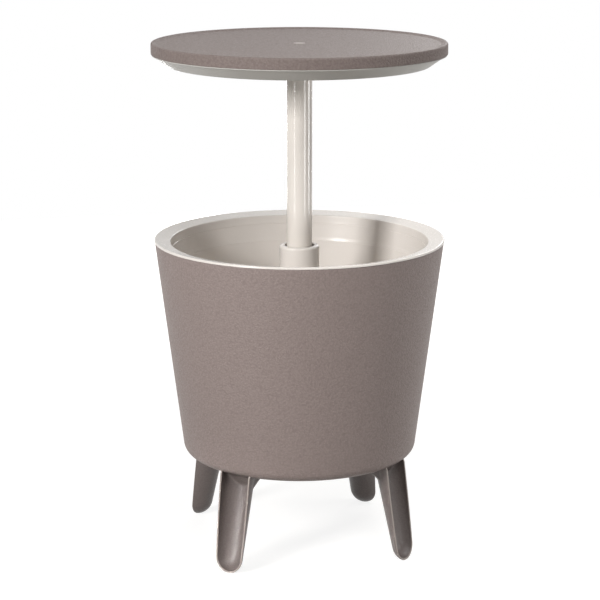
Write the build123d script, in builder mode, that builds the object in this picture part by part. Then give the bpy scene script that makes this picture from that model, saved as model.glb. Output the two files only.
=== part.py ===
"""Cooler bar table: an insulated bucket on four legs, whose round table top is its lid.

The table stands on a post that slides in a column in the middle of the bucket. It is lifted to
make a standing table over the open bucket, turned a quarter turn to lock it there, and lowered
to close the bucket. Millimetres, +Z up, origin on the floor under the post, legs on the diagonals.
The model is made with the table raised and unlocked.
"""
import os
from math import atan, cos, degrees, radians, sin, sqrt, tan

from build123d import *

# Fits between pieces
running_gap = 0.1        # post in its bush and in its guide
sliding_gap = 0.4        # guide and lugs in the sleeve
seat_gap = 0.3           # pieces that drop into each other and stay there
thread_gap = 0.05        # a screw, pin or plug in its own hole

# Bucket shell
leg_height = 162.0       # floor to the underside of the bucket
shell_height = 372.0
shell_base_radius = 199.0
shell_top_radius = 246.0
shell_wall = 3.0
shell_base_round = 18.5

# Liner: a bowl with a rim that caps the shell and a hollow column in the middle
rim_height = 4.4         # rim's side, above the shell's edge
rim_overhang = 0.8
rim_round = 1.2
flange_width = 27.3      # rim's edge to the mouth of the bowl
flange_drop = 5.5        # fall of the flange towards the mouth
flange_round = 2.2
liner_wall = 2.8
liner_taper = 7.2        # degrees
liner_depth = 272.0      # top of the rim to the floor of the bowl
liner_floor_round = 24.0
ledge_drop = 19.4        # top of the rim to a faint ledge in the wall
ledge_step = 0.6
shelf_drop = 50.4        # top of the rim to the step below it
shelf_step = 1.4
spigot_depth = 10.0      # ring under the flange that centres it in the shell
column_wall = 3.0
column_drop = 14.4       # top of the rim to the top of the column
column_edge_round = 4.0
column_foot_round = 8.0
mouth_gap = 3.9          # post to the mouth of the column
mouth_thickness = 5.0
mouth_round = 1.0

# Sleeve that guides and locks the post, and the bush above it
sleeve_wall = 2.2
sleeve_rib_depth = 2.6
sleeve_rib_width = 14.0
sleeve_flange_width = 17.3
sleeve_flange_thickness = 3.0
sleeve_screw_offset = 9.3  # sleeve's outside to its screws
sleeve_screw_count = 4
bush_height = 29.0
bush_lead = 1.0          # chamfer at each end of the bush's bore

# Post, its guide and its foot
post_radius = 21.6
post_wall = 2.0
lug_height = 10.0
lug_play = 0.8           # room for the lugs in the gap of the ribs, above and below
lug_width = 13.0
guide_height = 18.0
guide_wall = 3.8         # at the notches for the ribs
guide_slack = 0.3        # foot to guide
stop_slack = 0.5         # guide to bush at the top of the travel
foot_clearance = 1.0     # foot to the underside of the bucket, with the table closed
foot_spigot_length = 28.0
foot_spigot_wall = 7.6
foot_pin_radius = 2.5
clip_thickness = 1.6
clip_width = 2.3
clip_bite = 0.7          # depth of the clip's groove in the post
clip_opening = 50.0      # degrees
clip_recess = 2.4        # depth of the recess for the clip in the guide

# Table
table_overhang = 0.7     # past the rim of the bucket
skirt_height = 19.0
skirt_wall = 3.0
table_edge_round = 1.6
table_recess = 2.7       # lip's top to the table's surface
table_lip_width = 12.0   # lip with its slope
table_lip_flat = 4.5
table_lip_foot_round = 4.5
table_plate = 3.2
table_rib_thickness = 2.2
table_rib_height = 12.0
table_screw_inset = 22.5 # edge of the dish's flat to the screws
table_screw_count = 8
hub_wall = 4.5
hub_depth = 26.0         # table's surface to the lower end of the hub
hub_floor = 11.2         # table's surface to the end of the post
dish_wall = 2.6
dish_rise = 8.0          # dish's rim inside the skirt
dish_lip_height = 1.6
dish_lip_step = 0.7
dish_depth = 19.4        # skirt's lower edge to the flat of the dish
dish_flat_inset = 1.0    # mouth of the bowl to the dish's flat
dish_edge_round = 5.0
lid_seat = 0.4           # dish to the mouth of the bowl, with the table closed
plug_flange = 2.0        # rim of the post's top plug, on the end of the tube
plug_length = 42.0
bolt_radius = 4.0
bolt_length = 36.0
bolt_head_radius = 7.0
bolt_head_height = 3.2
bolt_socket = 5.0        # across flats
washer_margin = 1.2      # washer past the bolt's head
washer_thickness = 1.2
cap_ledge = 2.0          # cap past the washer
cap_thickness = 1.6

# Legs: tapered scoops, open outwards, with a round lower end
leg_angles = {"leg_rear_right": 45, "leg_rear_left": 135, "leg_front_left": 225, "leg_front_right": 315}
leg_lean = 13.4          # lean of the scoop's round back
leg_face_lean = 7.9      # lean of its open face
leg_spread = 23.4        # edge of the bucket's base to the middle of the round end
leg_tip_radius = 27.8
leg_top_radius = 30.4
leg_tip_setback = 7.4    # middle of the round end to the open face behind it
leg_wall = 3.2
leg_block_height = 22.0  # solid block for the screws, at the top of the channel's back
leg_block_lean = 30.0    # degrees, its front leans out upwards
leg_flare_radius = 48.0  # hollow curve from the leg's back to the bucket
leg_flare_end = 80.0     # degrees from upright, where it meets the bucket
leg_flare_edge = 1.0
leg_flare_width = 56.0
leg_flare_bite = 0.3     # lower end of the curve, inside the leg's back
leg_gap = 0.2            # leg to the bucket
leg_foot_flat = 0.8      # depth of the flat that the leg stands on
leg_screw_inset = 26.0   # open face to the screws, at the top of the leg
leg_screw_spread = 20.0
leg_screw_length = 14.0

# Pan-head screws, down into the legs and up into the bucket for the sleeve, and flush ones for the table
screw_radius = 2.0
screw_length = 24.0
screw_head_radius = 3.9
screw_head_height = 2.8
screw_head_round = 1.2
screw_point = 2.0
screw_slot_width = 1.1
screw_slot_depth = 1.4
flush_head_height = 2.0
boss_radius = 6.0
boss_roof = 3.0          # closed end of a boss above its screw

# Drain
drain_distance = 110.0   # axis of the bucket to the drain, towards the back
drain_radius = 13.0
drain_wall = 3.0
drain_flange_radius = 19.0
drain_flange_thickness = 2.0
drain_bar = 2.0          # cross bars that keep ice out of the pipe
drain_end = 3.0          # pipe below the underside of the bucket
drain_seal_thickness = 1.5
drain_nut_height = 8.0
drain_nut_width = 36.0   # across flats
plug_gap = 0.5           # drain plug in its pipe
stopper_length = 16.0
stopper_flange_radius = 16.0
stopper_flange_thickness = 3.5
stopper_tab_width = 18.0
stopper_tab_height = 15.0
stopper_tab_thickness = 4.0
stopper_tab_round = 5.4
stopper_tab_hole = 4.5
ring_thickness = 2.2     # O-ring on the drain plug
ring_gap = 0.15          # O-ring to the pipe
ring_height = 9.0        # O-ring above the plug's flange

# Heights that follow from the sizes above
shell_top = leg_height + shell_height
rim_top = shell_top + rim_height
column_top = rim_top - column_drop
mouth_under = column_top - mouth_thickness
sleeve_top = mouth_under - bush_height
sleeve_bottom = leg_height - sleeve_flange_thickness
guide_top = sleeve_top - stop_slack
guide_bottom = guide_top - guide_height
foot_top = guide_bottom - guide_slack
foot_bottom = foot_top - lug_height
lift = foot_bottom - (leg_height + foot_clearance)
bowl_floor = rim_top - liner_depth
bowl_under = bowl_floor - liner_wall

# Radii that follow from them
rim_radius = shell_top_radius + rim_overhang
flange_radius = rim_radius - flange_width
flange_inner_z = rim_top - flange_drop
post_bore = post_radius - post_wall
post_hole = post_radius + running_gap
guide_waist = post_hole + guide_wall
rib_inner = guide_waist + sliding_gap
sleeve_inner = rib_inner + sleeve_rib_depth
guide_radius = sleeve_inner - sliding_gap
sleeve_outer = sleeve_inner + sleeve_wall
sleeve_flange_radius = sleeve_outer + sleeve_flange_width
sleeve_screw_radius = sleeve_outer + sleeve_screw_offset
column_bore = sleeve_outer + seat_gap
column_radius = column_bore + column_wall
mouth_radius = post_radius + mouth_gap

# The closed table's dish rests just over the mouth of the bowl
table_radius = rim_radius + table_overhang
dish_rim_radius = table_radius - skirt_wall - seat_gap
dish_flat_radius = flange_radius - dish_flat_inset
table_screw_radius = dish_flat_radius - table_screw_inset
dish_cone_radius = dish_rim_radius - dish_lip_step
dish_slope = atan((dish_depth - dish_lip_height) / (dish_cone_radius - dish_flat_radius))
dish_reach = dish_depth - (flange_radius - dish_flat_radius) * tan(dish_slope)
table_bottom = flange_inner_z + dish_reach + lid_seat + lift
table_top_z = table_bottom + skirt_height
surface_z = table_top_z - table_recess
plate_under = surface_z - table_plate
dish_bottom = table_bottom - dish_depth
post_end = surface_z - hub_floor
bolt_seat = surface_z - cap_thickness - bolt_head_height - washer_thickness
washer_radius = bolt_head_radius + washer_margin
cap_radius = washer_radius + cap_ledge

shell_taper = atan((shell_top_radius - shell_base_radius) / shell_height)


def save(piece, name):
    """Label a finished piece and write its file."""
    piece.label = name
    export_step(piece, f"parts/{name}.step")


def shell_form(gap):
    """The bucket's outer form, swelled all round by a gap, or shrunk by a negative one."""
    base = leg_height - gap
    side = gap / cos(shell_taper)
    base_corner = shell_base_radius - gap * tan(shell_taper) + side
    with BuildPart() as form:
        with BuildSketch(Plane.XZ):
            with BuildLine():
                FilletPolyline(
                    (0, base), (base_corner, base), (shell_top_radius + side, shell_top), (0, shell_top),
                    radius=(0, shell_base_round + gap, 0, 0), close=True)
            make_face()
        revolve(axis=Axis.Z)
    return form.part


def pan_screw(length):
    """A pan-head screw that points up, with its head's seat at the origin."""
    with BuildPart() as form:
        with BuildSketch(Plane.XZ):
            with BuildLine():
                FilletPolyline(
                    (0, -screw_head_height), (screw_head_radius, -screw_head_height), (screw_head_radius, 0),
                    (screw_radius, 0), (screw_radius, length - screw_point), (0, length),
                    radius=(0, screw_head_round, 0, 0, 0, 0), close=True)
            make_face()
        revolve(axis=Axis.Z)
        with BuildSketch(Plane.XY.offset(-screw_head_height)):
            Rectangle(screw_head_radius, screw_slot_width)
            Rectangle(screw_slot_width, screw_head_radius)
        extrude(amount=screw_slot_depth, mode=Mode.SUBTRACT)
    return form.part


def flush_screw(gap):
    """A countersunk screw that points up, its flat head's face at the origin, swelled by a gap."""
    head = screw_head_radius + gap
    shank = screw_radius + gap
    with BuildPart() as form:
        with BuildSketch(Plane.XZ):
            with BuildLine():
                Polyline(
                    (0, 0), (head, 0), (shank, flush_head_height), (shank, screw_length - screw_point),
                    (0, screw_length), close=True)
            make_face()
        revolve(axis=Axis.Z)
    return form.part


# The scoop of a leg leans in the plane of X and Z, and is turned to its corner afterwards
lean = radians(leg_lean)
face_lean = radians(leg_face_lean)
leg_tip_ring = sqrt(leg_tip_radius**2 - leg_tip_setback**2)
leg_tip_z = leg_tip_setback * sin(face_lean) + leg_tip_ring * cos(face_lean) - leg_foot_flat
leg_rise = leg_height - leg_tip_z
leg_length = leg_rise / cos(lean)
leg_growth = (leg_top_radius - leg_tip_radius) / leg_length
leg_reach = shell_base_radius + leg_spread
leg_plane = Plane((leg_reach, 0, leg_tip_z), x_dir=(cos(lean), 0, sin(lean)), z_dir=(0, -1, 0))
leg_face = Plane(
    (leg_reach - leg_tip_setback * cos(face_lean), 0, leg_tip_z - leg_tip_setback * sin(face_lean)),
    z_dir=(cos(face_lean), 0, sin(face_lean)))
leg_face_top = leg_face.origin.X - (leg_height - leg_face.origin.Z) * tan(face_lean)
leg_screw_place = leg_face_top - leg_screw_inset
leg_screw_seat = leg_height + shell_wall
leg_screw_end = leg_screw_seat - leg_screw_length
leg_screw_points = [
    Vector(leg_screw_place, side * leg_screw_spread / 2).rotate(Axis.Z, angle)
    for angle in leg_angles.values() for side in (-1, 1)]


def leg_form(inset):
    """The leg's full round form, a cone on a ball, with its surface moved in by an inset."""
    length = leg_length + shell_base_round + leg_top_radius
    tip = leg_tip_radius - inset
    with BuildPart() as form:
        with BuildSketch(leg_plane):
            with BuildLine():
                CenterArc((0, 0), tip, -90, 90)
                Polyline((tip, 0), (tip + leg_growth * length, length), (0, length), (0, -tip))
            make_face()
        revolve(axis=Axis(leg_plane.origin, leg_plane.y_dir))
    return form.part


def leg_section(z):
    """Middle and radius of the leg's round form at a height."""
    along = (z - leg_tip_z) / cos(lean)
    return leg_reach - (z - leg_tip_z) * tan(lean), leg_tip_radius + leg_growth * along


def leg_flare():
    """The hollow curve behind the leg: a trumpet about the leg's top, its back half, cut off at its sides."""
    back_lean = lean + atan(leg_growth)
    end_lean = radians(leg_flare_end)
    curve_top = leg_height - leg_flare_edge
    curve_rise = leg_flare_radius * (sin(end_lean) - sin(back_lean))
    curve_bottom = curve_top - curve_rise
    curve_z = curve_bottom - leg_flare_radius * sin(back_lean)
    middle, radius = leg_section(curve_top)
    curve_foot = middle - radius + leg_flare_bite + curve_rise * tan(back_lean)
    curve_x = curve_foot - leg_flare_radius * cos(back_lean)
    curve_end = curve_x + leg_flare_radius * cos(end_lean)
    turn = degrees(back_lean)
    with BuildPart() as form:
        with BuildSketch(Plane.XZ):
            with BuildLine():
                CenterArc((curve_x, curve_z), leg_flare_radius, turn, leg_flare_end - turn)
                Polyline(
                    (curve_end, curve_top), (curve_end, leg_height), (middle, leg_height),
                    (middle, curve_bottom), (curve_foot, curve_bottom))
            make_face()
        revolve(axis=Axis((middle, 0, 0), (0, 0, 1)))
        with BuildSketch(Plane.XY.offset(curve_bottom)):
            with Locations(((middle + curve_end) / 2, 0)):
                Rectangle(middle - curve_end, leg_flare_width)
        extrude(amount=leg_height - curve_bottom, mode=Mode.INTERSECT)
    return form.part


def liner_wall_radius(z):
    """Inner face of the bowl's wall, before its steps."""
    return flange_radius - (flange_inner_z - z) * tan(radians(liner_taper))


os.makedirs("parts", exist_ok=True)
drain_place = (0, drain_distance)
drain_bore = drain_radius - drain_wall

# Outer shell of the bucket. Its floor has bosses for the sleeve's screws and holes for those of the legs
sleeve_screw_length = screw_length - sleeve_flange_thickness
boss_foot = leg_height + shell_wall / 2
bucket_outside = shell_form(0)
bucket_inside = shell_form(-shell_wall)
with BuildPart() as outer_shell:
    add(bucket_outside)
    add(bucket_inside, mode=Mode.SUBTRACT)
    with BuildSketch(Plane.XY.offset(boss_foot)):
        with PolarLocations(sleeve_screw_radius, sleeve_screw_count):
            Circle(boss_radius)
    extrude(amount=leg_height + sleeve_screw_length + boss_roof - boss_foot)
    with BuildSketch(Plane.XY.offset(leg_height)):
        with Locations(*leg_screw_points):
            Circle(screw_radius + seat_gap)
    extrude(amount=shell_wall, mode=Mode.SUBTRACT)
    with BuildSketch(Plane.XY.offset(leg_height)):
        with PolarLocations(sleeve_screw_radius, sleeve_screw_count):
            Circle(screw_radius + thread_gap)
    extrude(amount=sleeve_screw_length + thread_gap, mode=Mode.SUBTRACT)
    with BuildSketch(Plane.XY.offset(leg_height)):
        Circle(sleeve_outer + seat_gap)
        with Locations(drain_place):
            Circle(drain_radius + seat_gap)
    extrude(amount=shell_wall, mode=Mode.SUBTRACT)
save(outer_shell.part, "outer_shell")

# Liner: rim, flange, bowl and column in one moulding
ledge_z = rim_top - ledge_drop
shelf_z = rim_top - shelf_drop
ledge_radius = liner_wall_radius(ledge_z)
shelf_radius = liner_wall_radius(shelf_z) - ledge_step
floor_radius = liner_wall_radius(bowl_floor) - ledge_step - shelf_step
spigot_radius = shell_top_radius - shell_wall / cos(shell_taper) - spigot_depth * tan(shell_taper) - seat_gap
flange_slope = flange_drop / flange_width
flange_under = flange_inner_z - liner_wall
with BuildPart() as inner_liner:
    with BuildSketch(Plane.XZ):
        with BuildLine():
            FilletPolyline(
                (rim_radius, shell_top),
                (rim_radius, rim_top),
                (flange_radius, flange_inner_z),
                (ledge_radius, ledge_z),
                (ledge_radius - ledge_step, ledge_z),
                (shelf_radius, shelf_z),
                (shelf_radius - shelf_step, shelf_z),
                (floor_radius, bowl_floor),
                (column_radius, bowl_floor),
                (column_radius, column_top),
                (mouth_radius, column_top),
                (mouth_radius, mouth_under),
                (column_bore, mouth_under),
                (column_bore, bowl_under),
                (floor_radius + liner_wall, bowl_under),
                (flange_radius + liner_wall, flange_under + liner_wall * flange_slope),
                (spigot_radius - liner_wall,
                 flange_under + (spigot_radius - liner_wall - flange_radius) * flange_slope),
                (spigot_radius - liner_wall, shell_top - spigot_depth),
                (spigot_radius, shell_top - spigot_depth),
                (spigot_radius, shell_top),
                radius=(0, rim_round, flange_round, 0, 0, 0, 0, liner_floor_round, column_foot_round,
                        column_edge_round, mouth_round, 0, 0, 0, liner_floor_round, 0, 0, 0, 0, 0),
                close=True)
        make_face()
    revolve(axis=Axis.Z)
    with BuildSketch(Plane.XY.offset(bowl_under)):
        with Locations(drain_place):
            Circle(drain_radius + seat_gap)
    extrude(amount=liner_wall, mode=Mode.SUBTRACT)
save(inner_liner.part, "inner_liner")

# Sleeve in the column: two ribs steer the guide, and a gap in them takes the lugs of the foot
rib_bottom = leg_height + foot_clearance + lug_height + lug_play
with BuildPart() as guide_sleeve:
    with BuildSketch(Plane.XY.offset(sleeve_bottom)):
        Circle(sleeve_outer)
    extrude(amount=sleeve_top - sleeve_bottom)
    with BuildSketch(Plane.XY.offset(sleeve_bottom)):
        Circle(sleeve_flange_radius)
    extrude(amount=sleeve_flange_thickness)
    with BuildSketch(Plane.XY.offset(sleeve_bottom)):
        Circle(sleeve_inner)
    extrude(amount=sleeve_top - sleeve_bottom, mode=Mode.SUBTRACT)
    for rib_start, rib_end in (
            (rib_bottom, foot_bottom - lug_play), (foot_top + lug_play, sleeve_top)):
        with BuildSketch(Plane.XY.offset(rib_start)):
            Circle(sleeve_inner + sleeve_wall / 2)
            Circle(rib_inner, mode=Mode.SUBTRACT)
            Rectangle(sleeve_rib_width, 2 * sleeve_outer, mode=Mode.INTERSECT)
        extrude(amount=rib_end - rib_start)
    with BuildSketch(Plane.XY.offset(sleeve_bottom)):
        with PolarLocations(sleeve_screw_radius, sleeve_screw_count):
            Circle(screw_radius + seat_gap)
    extrude(amount=sleeve_flange_thickness, mode=Mode.SUBTRACT)
save(guide_sleeve.part, "guide_sleeve")

sleeve_screw = pan_screw(screw_length).moved(Location((0, 0, sleeve_bottom)))
with BuildPart() as sleeve_screws:
    with PolarLocations(sleeve_screw_radius, sleeve_screw_count):
        add(sleeve_screw)
save(sleeve_screws.part, "sleeve_screws")

# Bush under the mouth of the column, which the post slides and turns in
with BuildPart() as top_bush:
    with BuildSketch(Plane.XY.offset(sleeve_top)):
        Circle(sleeve_outer)
        Circle(post_hole, mode=Mode.SUBTRACT)
    extrude(amount=bush_height)
    bore_edges = top_bush.faces().filter_by(GeomType.CYLINDER).sort_by(SortBy.RADIUS)[0].edges()
    chamfer(bore_edges.filter_by(GeomType.CIRCLE), bush_lead)
save(top_bush.part, "top_bush")

# Four legs of one form
leg_outside = leg_form(0)
leg_inside = leg_form(leg_wall)
leg_hollow_curve = leg_flare()
bucket_seat = shell_form(leg_gap)
block_foot = leg_height - leg_block_height
block_middle, block_radius = leg_section(block_foot)
block_lean = radians(leg_block_lean)
block_front = Plane(
    (block_middle - (block_radius - leg_wall) / cos(lean), 0, block_foot),
    z_dir=(cos(block_lean), 0, -sin(block_lean)))
with BuildPart() as leg_block:
    add(leg_outside)
    split(bisect_by=block_front, keep=Keep.BOTTOM)
with BuildPart() as leg:
    add(leg_outside)
    add(leg_hollow_curve)
    add(leg_inside, mode=Mode.SUBTRACT)
    add(leg_block.part)
    split(bisect_by=leg_face, keep=Keep.BOTTOM)
    split(bisect_by=Plane.XY, keep=Keep.TOP)
    add(bucket_seat, mode=Mode.SUBTRACT)
    with BuildSketch(Plane.XY.offset(leg_screw_end - thread_gap)):
        with Locations((leg_screw_place, leg_screw_spread / 2), (leg_screw_place, -leg_screw_spread / 2)):
            Circle(screw_radius + thread_gap)
    extrude(amount=leg_screw_length, mode=Mode.SUBTRACT)
for leg_name, leg_angle in leg_angles.items():
    save(leg.part.rotate(Axis.Z, leg_angle), leg_name)

leg_screw = pan_screw(leg_screw_length).rotate(Axis.X, 180).moved(Location((0, 0, leg_screw_seat)))
with BuildPart() as leg_screws:
    with Locations(*leg_screw_points):
        add(leg_screw)
save(leg_screws.part, "leg_screws")

# Drain: a flanged pipe through the floor of the bowl, its seal and nut, and a stopper from below
pipe_bottom = leg_height - drain_end
pipe_top = bowl_floor + drain_seal_thickness
with BuildPart() as drain_pipe:
    with BuildSketch(Plane.XY.offset(pipe_bottom)):
        with Locations(drain_place):
            Circle(drain_radius)
    extrude(amount=pipe_top - pipe_bottom)
    with BuildSketch(Plane.XY.offset(pipe_top)):
        with Locations(drain_place):
            Circle(drain_flange_radius)
    extrude(amount=drain_flange_thickness)
    with BuildSketch(Plane.XY.offset(pipe_bottom)):
        with Locations(drain_place):
            Circle(drain_bore)
    extrude(amount=pipe_top + drain_flange_thickness - pipe_bottom, mode=Mode.SUBTRACT)
    with BuildSketch(Plane.XY.offset(pipe_top)):
        with Locations(drain_place):
            Rectangle(2 * drain_radius, drain_bar)
            Rectangle(drain_bar, 2 * drain_radius)
    extrude(amount=drain_flange_thickness)
save(drain_pipe.part, "drain_pipe")

with BuildPart() as drain_seal:
    with BuildSketch(Plane.XY.offset(bowl_floor)):
        with Locations(drain_place):
            Circle(drain_flange_radius)
            Circle(drain_radius + thread_gap, mode=Mode.SUBTRACT)
    extrude(amount=drain_seal_thickness)
save(drain_seal.part, "drain_seal")

with BuildPart() as drain_nut:
    with BuildSketch(Plane.XY.offset(bowl_under)):
        with Locations(drain_place):
            RegularPolygon(drain_nut_width / 2, 6, major_radius=False)
            Circle(drain_radius + thread_gap, mode=Mode.SUBTRACT)
    extrude(amount=-drain_nut_height)
save(drain_nut.part, "drain_nut")

stopper_radius = drain_bore - plug_gap
ring_z = pipe_bottom + ring_height
ring_middle = drain_bore - ring_gap - ring_thickness / 2
with BuildPart() as plug_ring:
    with BuildSketch(Plane.XZ):
        with Locations((ring_middle, ring_z)):
            Circle(ring_thickness / 2)
    revolve(axis=Axis.Z)
plug_ring_place = Location((*drain_place, 0))
save(plug_ring.part.moved(plug_ring_place), "plug_ring")

with BuildPart() as drain_plug:
    with BuildSketch(Plane.XY.offset(pipe_bottom - stopper_flange_thickness)):
        with Locations(drain_place):
            Circle(stopper_flange_radius)
    extrude(amount=stopper_flange_thickness)
    with BuildSketch(Plane.XY.offset(pipe_bottom)):
        with Locations(drain_place):
            Circle(stopper_radius)
    extrude(amount=stopper_length)
    with BuildSketch(Plane.XZ.offset(-drain_distance - stopper_tab_thickness / 2)):
        with Locations((0, pipe_bottom - stopper_flange_thickness - stopper_tab_height / 2)):
            Rectangle(stopper_tab_width, stopper_tab_height)
    extrude(amount=stopper_tab_thickness)
    tab_corners = drain_plug.edges().filter_by(Axis.Y).group_by(Axis.Z)[0]
    fillet(tab_corners, stopper_tab_round)
    with BuildSketch(Plane.XZ.offset(-drain_distance - stopper_tab_thickness / 2)):
        with Locations((0, pipe_bottom - stopper_flange_thickness - stopper_tab_height / 2)):
            Circle(stopper_tab_hole)
    extrude(amount=stopper_tab_thickness, mode=Mode.SUBTRACT)
    add(plug_ring.part.moved(plug_ring_place), mode=Mode.SUBTRACT)
save(drain_plug.part, "drain_plug")

# Guide on the lower end of the post: it slides on the sleeve's ribs, and the post turns in it
with BuildPart() as post_guide:
    with BuildSketch(Plane.XY.offset(guide_bottom)):
        Circle(guide_radius)
        Circle(post_hole, mode=Mode.SUBTRACT)
    extrude(amount=guide_height)
    with BuildSketch(Plane.XY.offset(guide_bottom)):
        Rectangle(sleeve_rib_width + 2 * sliding_gap, 2 * sleeve_outer)
        Circle(guide_waist, mode=Mode.SUBTRACT)
    extrude(amount=guide_height, mode=Mode.SUBTRACT)
    with BuildSketch(Plane.XY.offset(guide_top - clip_recess)):
        Circle(post_radius - clip_bite + clip_width + seat_gap)
    extrude(amount=clip_recess, mode=Mode.SUBTRACT)
save(post_guide.part, "post_guide")

# Spring clip in a groove of the post, which holds the guide up against the foot
clip_bottom = guide_top - clip_recess + seat_gap
clip_inner = post_radius - clip_bite
clip_gap_width = 2 * (clip_inner + clip_width) * sin(radians(clip_opening) / 2)
with BuildPart() as post_clip:
    with BuildSketch(Plane.XY.offset(clip_bottom)):
        Circle(clip_inner + clip_width)
        Circle(clip_inner, mode=Mode.SUBTRACT)
    extrude(amount=clip_thickness)
    with BuildSketch(Plane.XY.offset(clip_bottom)):
        with Locations((clip_inner, 0)):
            Rectangle(2 * clip_inner, clip_gap_width)
    extrude(amount=clip_thickness, mode=Mode.SUBTRACT)
save(post_clip.part, "post_clip")

# Post: a painted tube, with a locking foot in its lower end and a plug in its upper end
tube_top = post_end - plug_flange
pin_z = (foot_top + clip_bottom) / 2
with BuildPart() as post_tube:
    with BuildSketch(Plane.XY.offset(foot_top)):
        Circle(post_radius)
        Circle(post_bore, mode=Mode.SUBTRACT)
    extrude(amount=tube_top - foot_top)
    with BuildSketch(Plane.XY.offset(clip_bottom)):
        Circle(post_hole)
        Circle(clip_inner, mode=Mode.SUBTRACT)
    extrude(amount=clip_thickness, mode=Mode.SUBTRACT)
    with BuildSketch(Plane.XZ):
        with Locations((0, pin_z)):
            Circle(foot_pin_radius + thread_gap)
    extrude(amount=post_radius, both=True, mode=Mode.SUBTRACT)
save(post_tube.part, "post_tube")

with BuildPart() as lock_foot:
    with BuildSketch(Plane.XY.offset(foot_bottom)):
        Circle(guide_radius)
        Rectangle(2 * guide_radius, lug_width, mode=Mode.INTERSECT)
        Circle(guide_waist)
    extrude(amount=lug_height)
    with BuildSketch(Plane.XY.offset(foot_top)):
        Circle(post_bore - thread_gap)
    extrude(amount=foot_spigot_length)
    with BuildSketch(Plane.XY.offset(foot_bottom)):
        Circle(post_bore - foot_spigot_wall)
    extrude(amount=lug_height + foot_spigot_length, mode=Mode.SUBTRACT)
    with BuildSketch(Plane.XZ):
        with Locations((0, pin_z)):
            Circle(foot_pin_radius + thread_gap)
    extrude(amount=post_radius, both=True, mode=Mode.SUBTRACT)
save(lock_foot.part, "lock_foot")

with BuildPart() as foot_pin:
    with BuildSketch(Plane.XZ):
        with Locations((0, pin_z)):
            Circle(foot_pin_radius)
    extrude(amount=post_radius - seat_gap, both=True)
save(foot_pin.part, "foot_pin")

with BuildPart() as post_plug:
    with BuildSketch(Plane.XY.offset(tube_top)):
        Circle(post_radius - seat_gap)
    extrude(amount=plug_flange)
    with BuildSketch(Plane.XY.offset(tube_top)):
        Circle(post_bore - thread_gap)
    extrude(amount=-plug_length)
    with BuildSketch(Plane.XY.offset(post_end)):
        Circle(bolt_radius + thread_gap)
    extrude(amount=-plug_length - plug_flange, mode=Mode.SUBTRACT)
save(post_plug.part, "post_plug")

# Bolt that clamps the table on the post, its washer, and the cap that hides them
with BuildPart() as post_bolt:
    with BuildSketch(Plane.XY.offset(bolt_seat + washer_thickness)):
        Circle(bolt_head_radius)
    extrude(amount=bolt_head_height)
    with BuildSketch(Plane.XY.offset(bolt_seat + washer_thickness)):
        Circle(bolt_radius)
    extrude(amount=-bolt_length)
    with BuildSketch(Plane.XY.offset(bolt_seat + washer_thickness + bolt_head_height)):
        RegularPolygon(bolt_socket / 2, 6, major_radius=False)
    extrude(amount=-bolt_head_height, mode=Mode.SUBTRACT)
save(post_bolt.part, "post_bolt")

with BuildPart() as post_washer:
    with BuildSketch(Plane.XY.offset(bolt_seat)):
        Circle(washer_radius)
        Circle(bolt_radius + thread_gap, mode=Mode.SUBTRACT)
    extrude(amount=washer_thickness)
save(post_washer.part, "post_washer")

with BuildPart() as centre_cap:
    with BuildSketch(Plane.XY.offset(surface_z)):
        Circle(cap_radius)
    extrude(amount=-cap_thickness)
save(centre_cap.part, "centre_cap")

# Table top: a plate with a raised lip and a skirt, ribs and screw bosses, and a hub for the post
boss_bottom = dish_bottom + dish_wall
with BuildPart() as table_top:
    with BuildSketch(Plane.XZ):
        with BuildLine():
            FilletPolyline(
                (0, surface_z),
                (table_radius - table_lip_width, surface_z),
                (table_radius - table_lip_flat, table_top_z),
                (table_radius, table_top_z),
                (table_radius, table_bottom),
                (table_radius - skirt_wall, table_bottom),
                (table_radius - skirt_wall, plate_under),
                (0, plate_under),
                radius=(0, table_lip_foot_round, table_edge_round, table_edge_round, table_edge_round / 2, 0,
                        skirt_wall, 0),
                close=True)
        make_face()
    revolve(axis=Axis.Z)
    with BuildSketch(Plane.XY.offset(plate_under)):
        with PolarLocations((table_screw_radius + post_radius) / 2, table_screw_count):
            Rectangle(table_screw_radius - post_radius, table_rib_thickness)
    extrude(amount=-table_rib_height)
    with BuildSketch(Plane.XY.offset(plate_under)):
        Circle(post_radius + running_gap + hub_wall)
    extrude(amount=surface_z - hub_depth - plate_under)
    with BuildSketch(Plane.XY.offset(plate_under)):
        with PolarLocations(table_screw_radius, table_screw_count):
            Circle(boss_radius)
    extrude(amount=boss_bottom - plate_under)
    with BuildSketch(Plane.XY.offset(post_end)):
        Circle(post_hole)
    extrude(amount=surface_z - hub_depth - post_end, mode=Mode.SUBTRACT)
    with BuildSketch(Plane.XY.offset(surface_z)):
        Circle(cap_radius + thread_gap)
    extrude(amount=-cap_thickness, mode=Mode.SUBTRACT)
    with BuildSketch(Plane.XY.offset(surface_z)):
        Circle(washer_radius + seat_gap)
    extrude(amount=bolt_seat - surface_z, mode=Mode.SUBTRACT)
    with BuildSketch(Plane.XY.offset(surface_z)):
        Circle(bolt_radius + seat_gap)
    extrude(amount=post_end - surface_z, mode=Mode.SUBTRACT)
    with BuildSketch(Plane.XY.offset(boss_bottom)):
        with PolarLocations(table_screw_radius, table_screw_count):
            Circle(screw_radius + thread_gap)
    extrude(amount=screw_length - dish_wall + thread_gap, mode=Mode.SUBTRACT)
save(table_top.part, "table_top")

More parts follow.
